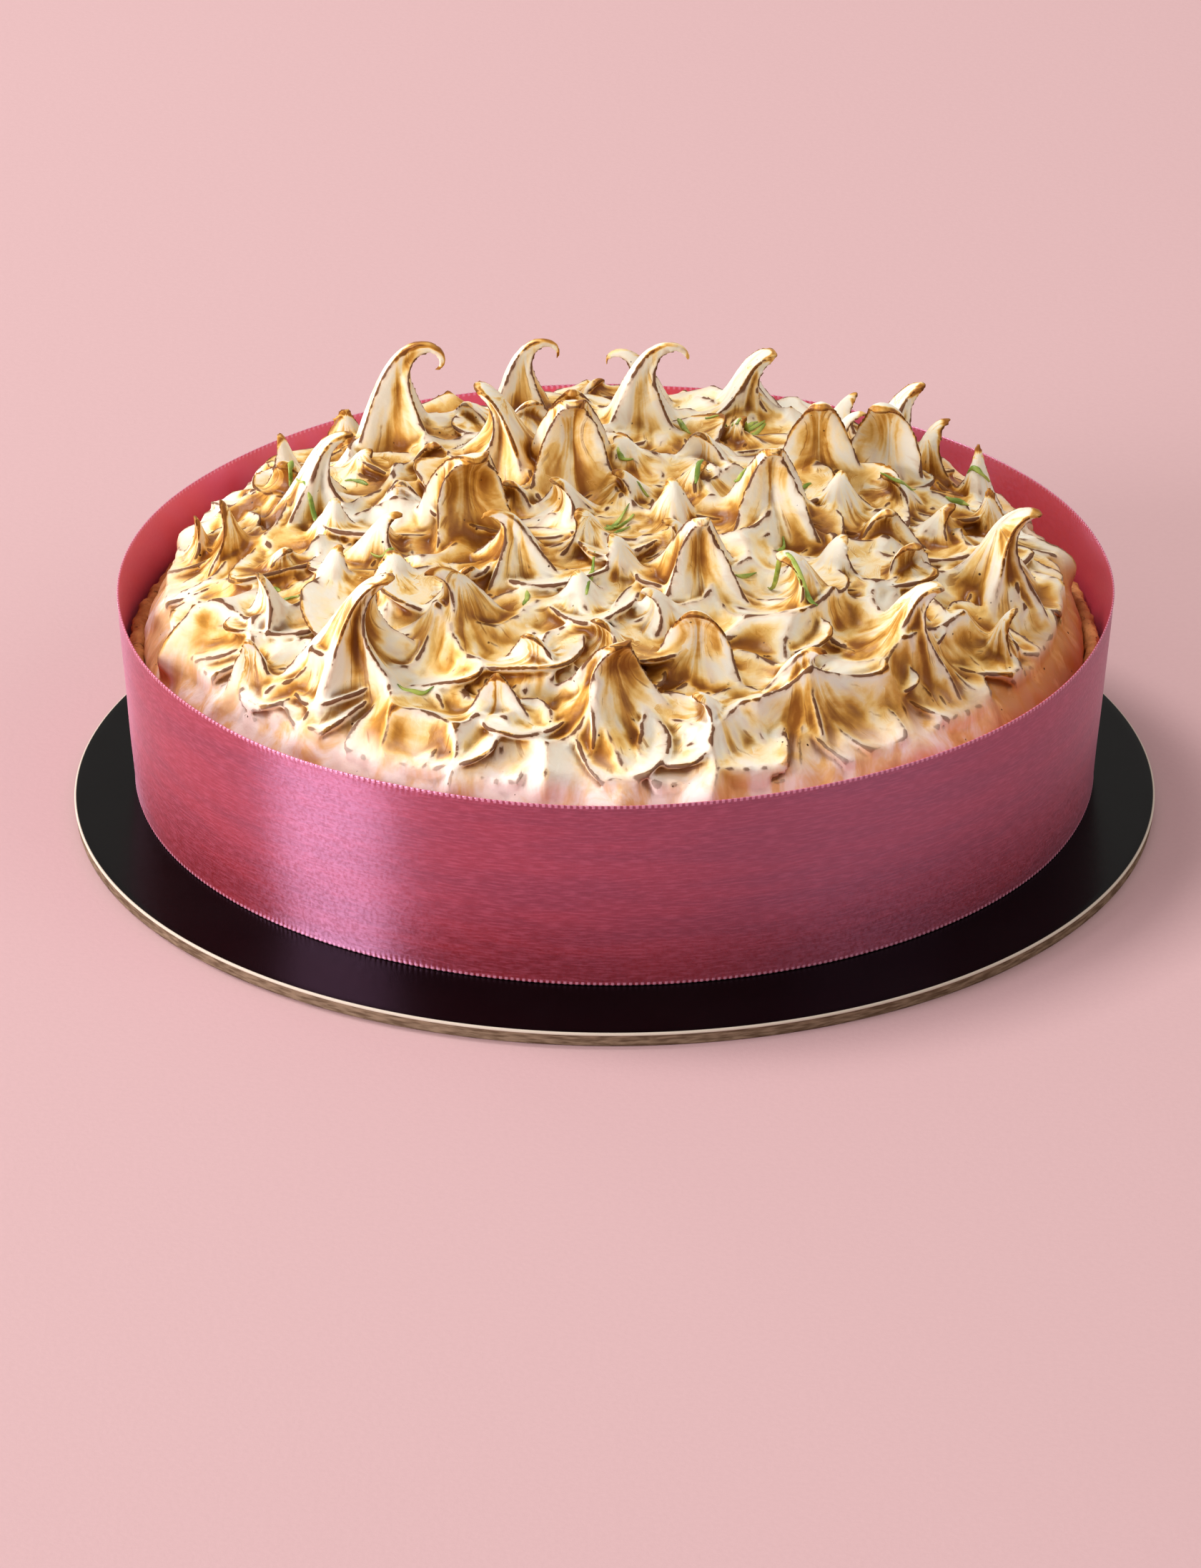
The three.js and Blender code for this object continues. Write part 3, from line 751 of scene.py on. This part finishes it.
# ---- The meringue's finish ----
def torched_meringue_finish():
    s = Shader("torched_meringue", Subsurface_Weight=0.06, Subsurface_Scale=0.003, Specular_IOR_Level=0.16)
    s.finish.inputs["Subsurface Radius"].default_value = (1.0, 0.6, 0.35)
    place = s.place()
    rim, spine, fold = s.attribute("rim"), s.attribute("spine"), s.attribute("fold")
    crest, tip, apart = s.attribute("crest"), s.attribute("tip"), s.attribute("apart")
    patches = s.noise(place, 0.026, 2, 0.5, 0.6)
    cloud = s.noise(place, 0.008, 4, 0.6, 1.2)
    fan = s.noise(s.vector("fan"), 1.0, 2, 0.5)
    streaks = (fan - 0.5) * apart
    height = s.node("ShaderNodeSeparateXYZ", None, {0: place}, "Z")
    wall = 1 - height.step(*WALL_END)
    sideways = s.node("ShaderNodeSeparateXYZ", None, {0: place}, "X")
    browner = sideways.step(0.075, 0.11) * 0.34 + sideways.step(-0.115, -0.085, 1, 0) * 0.12
    # Browner in the hollows and bowl floors and paler on the crests; the flame browns patches and the tips,
    # in streaks that run down from the tips.
    toast = patches * 1.9 + cloud * 0.55 + streaks * 1.5 - 0.92 - fold.least(0.8) * 0.5
    toast = toast - crest * 0.09 + tip.step(1.5, 2.1) * 0.85
    toast = toast.step(0.0, 0.95) * (1 - wall * 0.5)
    colour = s.ramp(toast, TOASTED)
    # Low values give the wall's pale pink, painted reflection of the ribbon and floor; high values give brown
    # smears.
    pink_reflection_and_smears = s.noise(s.scaled(place, (1, 1, 0.2)), 0.009, 4, 0.6, 0.5) + browner
    colour = s.mix(wall * 0.85, colour, s.ramp(pink_reflection_and_smears, BARE_WALL))
    # Thin dark lines where the flame caught an edge, and brown creases under the lips, partly caramelised
    # syrup and partly painted shade.
    caught = s.noise(place, 0.014, 1, 0.5)
    singed = (spine + (caught - 0.5) * 0.02).step(0.03, 0.052)
    singed *= fold.step(0.9, 1.7, 1, 0.35) * (1 - wall * 0.6)
    crease = ((caught - 0.5) * 0.15 - rim).step(0.04, 0.16) * 0.85
    burnt = fold.step(2.4, 3.4) * caught.step(0.4, 0.5)
    fine = s.noise(s.scaled(s.vector("fan"), (3.5, 3.5, 1)), 1.0, 2, 0.5)
    stroke = fine.step(0.6, 0.66) * apart * toast.step(0.1, 0.35) * (1 - wall)
    colour = s.mix(burnt * 0.7, colour, screen_colour(150, 92, 38))
    colour = s.mix(stroke * 0.6, colour, screen_colour(132, 74, 18))
    # Painted shade, together with caramelised syrup, in the hollow creases under the lips.
    colour = s.mix(crease, colour, screen_colour(112, 60, 14))
    glow = spine.step(-0.01, 0.04) * (1 - wall * 0.7) * 0.35
    colour = s.mix(glow, colour, screen_colour(190, 128, 52))
    colour = s.mix(singed * 0.92, colour, screen_colour(92, 46, 6))
    holes = s.node("ShaderNodeTexVoronoi", None, {"Vector": place, "Scale": 1 / 0.0042}, "Distance")
    specks = holes.step(0.06, 0.1, 1, 0) * cloud.step(0.5, 0.56)
    colour = s.mix(specks, colour, screen_colour(72, 38, 12))
    grain = s.noise(place, 0.0012, 2, 0.5)
    rough = toast.step(0, 1, 0.5, 0.34).most(singed * 0.8)
    return s.feed(Base_Color=colour, Roughness=rough, Normal=s.bump(grain, 0.0001))


# ---- The shapes of zest, ribbon, pastry case and board ----
def zest_mesh(ground):
    """Strips of zest that lie over the meringue, each one swept along its way."""
    faces = [tuple(face.vertices) for face in ground.polygons]
    tree = BVHTree.FromPolygons([vertex.co for vertex in ground.vertices], faces)
    blank = blank_tube("blank_strip", ZEST_SIDES, ZEST_RINGS)
    template = corners_of(blank)
    share = np.clip(template[:, 2], 0, 1)
    joined = bmesh.new()
    for index, (start, middle, end) in enumerate(np.array(ZEST) * MM):
        t = np.linspace(0, 1, ZEST_RINGS + 1)[:, None]
        way = start * (1 - t) ** 2 + 2 * (2 * middle - (start + end) / 2) * t * (1 - t) + end * t**2
        heights = np.array([tree.ray_cast(Vector((x, y, ABOVE_ALL)), DOWN)[0].z for x, y in way])
        # The strip is stiffer than the meringue: it spans the hollows and rests on what stands up.
        for _ in range(6):
            mean = np.convolve(np.pad(heights, 1, "edge"), (0.25, 0.5, 0.25), "valid")
            heights = np.maximum(mean, heights - ZEST_SAG)
        width = between(0.6, 0.9, index, 61) * MM
        line = np.column_stack([way, heights + ZEST_LIFT])
        ahead = np.gradient(line, axis=0)
        ahead /= np.linalg.norm(ahead, axis=1)[:, None]
        side = np.cross(ahead, (0, 0, 1))
        side /= np.linalg.norm(side, axis=1)[:, None]
        above = np.cross(side, ahead)
        at = np.rint(share * ZEST_RINGS).astype(int)
        taper = (np.sin(np.pi * np.clip(share, 0.03, 0.97)) ** 0.35)[:, None]
        roll = between(-0.5, 0.5, index, 62) + 0.8 * np.sin(share * 5 + index)
        across = template[:, 0] * np.cos(roll) - 0.5 * template[:, 1] * np.sin(roll)
        up = template[:, 0] * np.sin(roll) + 0.5 * template[:, 1] * np.cos(roll)
        corners = line[at] + taper * width * (side[at] * across[:, None] + above[at] * up[:, None])
        put_corners(blank, corners)
        joined.from_mesh(blank)
    mesh = bpy.data.meshes.new("zest")
    joined.to_mesh(mesh)
    joined.free()
    mesh.shade_smooth()
    return mesh


def ribbon_mesh():
    """A strip wound once round the pie and stitched along both edges, with its lap at the back."""
    bm = bmesh.new()
    bmesh.ops.create_grid(bm, x_segments=RIBBON_COLUMNS, y_segments=RIBBON_ROWS, size=0.5)
    mesh = bpy.data.meshes.new("satin_ribbon")
    bm.to_mesh(mesh)
    flat = corners_of(mesh) + 0.5
    along = flat[:, 0] * STITCHES * STITCH
    across = flat[:, 1] - 0.94 * np.sin(TURN * flat[:, 1]) / TURN
    angle = math.pi / 2 + along / RIBBON_MIDDLE
    from_edge = RIBBON_WIDTH * np.minimum(across, 1 - across)
    stitch = 0.5 + 0.5 * np.cos(TURN * along / STITCH)
    radius = RIBBON_FOOT_RADIUS + (RIBBON_TOP_RADIUS - RIBBON_FOOT_RADIUS) * across
    radius += LAP_RISE * smooth_share(along, RIBBON_ROUND - 10 * MM, RIBBON_ROUND)
    radius += RIBBON_WAVE * across**2 * (np.sin(3 * angle + 1) + 0.7 * np.sin(7 * angle) - 1.2)
    flow = np.column_stack([np.cos(angle) * 0.03, np.sin(angle) * 0.03, across * 0.05])
    radius += PUCKER * waves(flow, 16 * MM, 91)
    radius += PUCKER * stitch * (1 - smooth_share(from_edge, HEM, 0.9 * MM))
    outmost = 1 - smooth_share(from_edge, 0, HEM)
    height = RIBBON_LOW.z + 0.25 * MM + (RIBBON_WIDTH - 0.5 * MM) * across
    height += np.sign(across - 0.5) * 0.12 * MM * stitch * outmost
    corners = np.column_stack([radius * np.cos(angle), PIE_SETBACK + radius * np.sin(angle), height])
    put_corners(mesh, corners)
    store(mesh, "along", along)
    store(mesh, "across", across * RIBBON_WIDTH)
    bm.clear()
    bm.from_mesh(mesh)
    bmesh.ops.solidify(bm, geom=bm.faces, thickness=-RIBBON_SHEET)
    bmesh.ops.recalc_face_normals(bm, faces=bm.faces)
    bm.to_mesh(mesh)
    bm.free()
    store(mesh, "inner", np.arange(len(mesh.vertices)) < len(flat))
    mesh.shade_smooth()
    return mesh


def turned_mesh(name, profile, sides):
    """A closed solid turned from a profile of radius and height that starts and ends on the axis."""
    bm = bmesh.new()
    corners = [bm.verts.new((radius, 0, height)) for radius, height in profile]
    edges = [bm.edges.new(pair) for pair in zip(corners, corners[1:])]
    bmesh.ops.spin(
        bm, geom=corners + edges, cent=(0, 0, 0), axis=(0, 0, 1), angle=TURN, steps=sides, use_merge=True
    )
    bmesh.ops.remove_doubles(bm, verts=bm.verts, dist=0.001 * MM)
    bmesh.ops.recalc_face_normals(bm, faces=bm.faces)
    mesh = bpy.data.meshes.new(name)
    bm.to_mesh(mesh)
    bm.free()
    mesh.shade_smooth()
    return mesh


def case_mesh():
    """The pastry case with its rough, rounded rim."""
    inner = CASE_RIM_RADIUS - CASE_WALL
    half = CASE_WALL / 2
    bulge = 1.6 * MM
    flank_z = RIM_Z - bulge
    rim = [
        (CASE_RIM_RADIUS - half + half * math.cos(angle), flank_z + bulge * math.sin(angle))
        for angle in np.linspace(0, math.pi, 9)
    ]
    wall = [
        (CASE_FOOT_RADIUS + (CASE_RIM_RADIUS - CASE_FOOT_RADIUS) * t, CASE_LOW.z + (flank_z - CASE_LOW.z) * t)
        for t in np.linspace(0, 1, 14)[:-1]
    ]
    down = [(inner, flank_z - drop * MM) for drop in (1, 2, 3)]
    profile = [(0, CASE_LOW.z), (CASE_FOOT_RADIUS - 3 * MM, CASE_LOW.z)]
    profile += wall + rim + down + [(inner - 2 * MM, HEAP_FLOOR_Z), (0, HEAP_FLOOR_Z)]
    mesh = turned_mesh("pastry_case", profile, 540)
    corners = corners_of(mesh)
    radius = np.hypot(corners[:, 0], corners[:, 1])
    rough = 0.3 * waves(corners, 9 * MM, 71)
    rough += 0.18 * waves(corners, 3.5 * MM, 72)
    rough += 0.1 * waves(corners, 1.6 * MM, 73)
    rough *= MM * smooth_share(corners[:, 2], CASE_LOW.z, CASE_LOW.z + 2 * MM)
    on_wall = radius > inner - 1 * MM
    corners[:, 2] += rough * on_wall * smooth_share(corners[:, 2], RIM_Z - 6 * MM, RIM_Z - 1 * MM)
    corners[:, :2] *= (1 + (rough - 0.45 * MM) * on_wall / np.maximum(radius, 1 * MM))[:, None]
    corners[:, 1] += PIE_SETBACK
    put_corners(mesh, corners)
    return mesh


def board_mesh():
    """The card board: a wrapped top whose edge turns down over a cut side of pressed plies."""
    radius, top = BOARD_HIGH.x, BOARD_HIGH.z
    bend = 0.45 * MM
    plies = np.linspace(0.35 * MM, top - 2 * bend, 9)
    side = [(radius - bend + 0.1 * MM * (ply % 2), height) for ply, height in enumerate(plies)]
    turn = [
        (radius - bend + bend * math.cos(angle), top - bend + bend * math.sin(angle))
        for angle in np.linspace(-0.6, math.pi / 2, 7)
    ]
    profile = [(0, BOARD_LOW.z), (radius - 1.2 * MM, BOARD_LOW.z), (radius - 0.5 * MM, 0.15 * MM)]
    profile += side + turn + [(radius - 2.5 * MM, top), (radius * 0.5, top), (0, top)]
    return turned_mesh("card_board", profile, 360)


# ---- The other finishes ----
def ribbon_finish():
    s = Shader("satin", Specular_IOR_Level=0.82, IOR=2.1, Sheen_Weight=0.1, Sheen_Roughness=0.4)
    s.finish.inputs["Anisotropic"].default_value = 0.95
    s.finish.inputs["Anisotropic Rotation"].default_value = 0.25
    s.finish.inputs["Specular Tint"].default_value = (1, 0.55, 0.93, 1)
    s.finish.inputs["Sheen Tint"].default_value = (1, 0.55, 0.8, 1)
    along, across = s.attribute("along"), s.attribute("across")
    place = s.place()
    weave = s.node("ShaderNodeCombineXYZ", None, {"X": along * 0.12, "Y": 0.0, "Z": across})
    threads = s.noise(weave, 0.0005, 2, 0.5)
    bands = s.noise(weave, 0.006, 3, 0.5)
    flecks = s.noise(place, 0.0009, 2, 0.6)
    edge = across.least(RIBBON_WIDTH - across)
    dots = (along * (TURN / STITCH)).cosine().step(-0.2, 0.6)
    hem = 1 - edge.step(0.5 * MM, 0.8 * MM)
    colour = s.mix(bands.step(0.35, 0.65), screen_colour(118, 12, 5), screen_colour(134, 19, 11))
    colour = s.mix(threads.step(0.4, 0.7) * 0.25, colour, screen_colour(200, 92, 112))
    # The inner face is painted a brighter, redder colour: painted light, for the light that shines through
    # the thin satin.
    colour = s.mix(s.attribute("inner"), colour, screen_colour(206, 52, 66))
    colour = s.mix(hem * dots * 0.6, colour, screen_colour(226, 150, 172))
    relief = threads * 0.25 + bands * 0.7 + flecks * 0.1
    rough = flecks.step(0.3, 0.7, 0.3, 0.4)
    return s.feed(Base_Color=colour, Roughness=rough, Normal=s.bump(relief, 0.00008))


def pastry_finish():
    s = Shader("baked_pastry", Roughness=0.75, Specular_IOR_Level=0.3)
    place = s.place()
    crumbs = s.noise(place, 0.0016, 3, 0.6)
    browned = s.noise(place, 0.009, 3, 0.6)
    colour = s.mix(browned.step(0.35, 0.68), screen_colour(214, 150, 88), screen_colour(166, 96, 46))
    colour = s.mix(crumbs.step(0.58, 0.7) * 0.8, colour, screen_colour(112, 60, 28))
    return s.feed(Base_Color=colour, Normal=s.bump(crumbs, 0.0006))


def board_finish():
    s = Shader("board_card", Specular_IOR_Level=0.05)
    place = s.place()
    height = s.node("ShaderNodeSeparateXYZ", None, {0: place}, "Z")
    flat_place = s.scaled(place, (1, 1, 0))
    from_middle = s.node("ShaderNodeVectorMath", {"operation": "LENGTH"}, {0: flat_place}, "Value")
    rim = from_middle.step(BOARD_HIGH.x - 0.6 * MM, BOARD_HIGH.x - 0.3 * MM)
    side = 1 - height.step(2.9 * MM, 3.1 * MM)
    plies = s.noise(s.scaled(place, (0.15, 0.15, 1)), 0.0007, 2, 0.5)
    fuzz = s.noise(place, 0.0011, 3, 0.6)
    cloud = s.noise(place, 0.03, 2, 0.5)
    card = s.mix(plies.step(0.3, 0.7), screen_colour(92, 72, 56), screen_colour(134, 112, 92))
    black = s.mix(cloud.step(0.3, 0.7), screen_colour(3, 2, 2), screen_colour(6, 5, 5))
    colour = s.mix(rim, black, screen_colour(196, 184, 168))
    colour = s.mix(side, colour, card)
    rough = fuzz.step(0.3, 0.7, 0.2, 0.26) + side * 0.55 + rim * 0.1
    relief = plies * side * 4 + fuzz * 0.15
    return s.feed(Base_Color=colour, Roughness=rough, Normal=s.bump(relief, 0.0001))


def zest_finish():
    s = Shader("lime_zest", Roughness=0.42, Subsurface_Weight=0.15, Subsurface_Scale=0.001)
    place = s.place()
    tint = s.noise(place, 0.004, 2, 0.5)
    pores = s.noise(place, 0.0006, 2, 0.5)
    colour = s.mix(tint.step(0.35, 0.65), screen_colour(106, 132, 36), screen_colour(168, 182, 80))
    colour = s.mix(pores.step(0.6, 0.72) * 0.6, colour, screen_colour(80, 98, 26))
    return s.feed(Base_Color=colour, Normal=s.bump(pores, 0.0001))


# ---- The pieces ----
def add_piece(name, mesh, material, nodes):
    """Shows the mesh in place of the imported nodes, with that finish."""
    mesh.materials.clear()
    mesh.materials.append(material)
    obj = add_object(name, mesh)
    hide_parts(*nodes)
    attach(obj, "root")
    return obj


meringue = add_piece(
    "torched_meringue", meringue_mesh(), torched_meringue_finish(), ["meringue"]
)
add_piece("zest", zest_mesh(meringue.data), zest_finish(), ["meringue"])
ribbon = add_piece("satin_ribbon", ribbon_mesh(), ribbon_finish(), ["ribbon"])
add_piece("crust", case_mesh(), pastry_finish(), ["pastry_case"])
add_piece("card_board", board_mesh(), board_finish(), ["cake_board"])


# ---- Floor, light and camera ----
def floor_finish():
    s = Shader("pink_paper", Roughness=0.85, Specular_IOR_Level=0.2)
    place = s.place()
    fibres = s.noise(place, 0.0015, 3, 0.6)
    colour = s.mix(fibres.step(0.3, 0.7), (0.557, 0.357, 0.367), (0.568, 0.365, 0.375))
    return s.feed(Base_Color=colour, Normal=s.bump(fibres, 0.00005))


def add_floor():
    bm = bmesh.new()
    bmesh.ops.create_grid(bm, x_segments=1, y_segments=1, size=FLOOR_SIZE / 2)
    sheet = bpy.data.meshes.new("floor")
    bm.to_mesh(sheet)
    bm.free()
    sheet.materials.append(floor_finish())
    add_object("floor", sheet)


def add_camera():
    data = bpy.data.cameras.new("camera")
    data.lens = LENS
    data.sensor_width = 36
    camera = add_object("camera", data)
    back = Vector((0, -math.cos(ELEVATION), math.sin(ELEVATION)))
    camera.location = LOOK_AT + CAMERA_DISTANCE * back
    camera.rotation_euler = (math.pi / 2 - ELEVATION, math.radians(ROLL), 0)
    bpy.context.scene.camera = camera


def add_lamp(name, way, distance, size, energy, colour):
    """A soft square lamp that looks at the pie from that way."""
    data = bpy.data.lights.new(name, "AREA")
    data.size = size
    data.energy = energy
    data.color = colour
    lamp = add_object(name, data)
    lamp.location = Vector(way).normalized() * distance
    lamp.rotation_euler = (-Vector(way)).to_track_quat("-Z", "Y").to_euler()


def add_room():
    """The even light that comes from all round."""
    world = bpy.data.worlds.new("room")
    world.use_nodes = True
    background = world.node_tree.nodes["Background"]
    background.inputs["Color"].default_value = (1, 0.95, 0.91, 1)
    background.inputs["Strength"].default_value = ROOM_LIGHT
    bpy.context.scene.world = world


add_floor()
add_camera()
add_room()
for lamp in LAMPS:
    add_lamp(*lamp)
bpy.context.scene.view_settings.view_transform = "Standard"
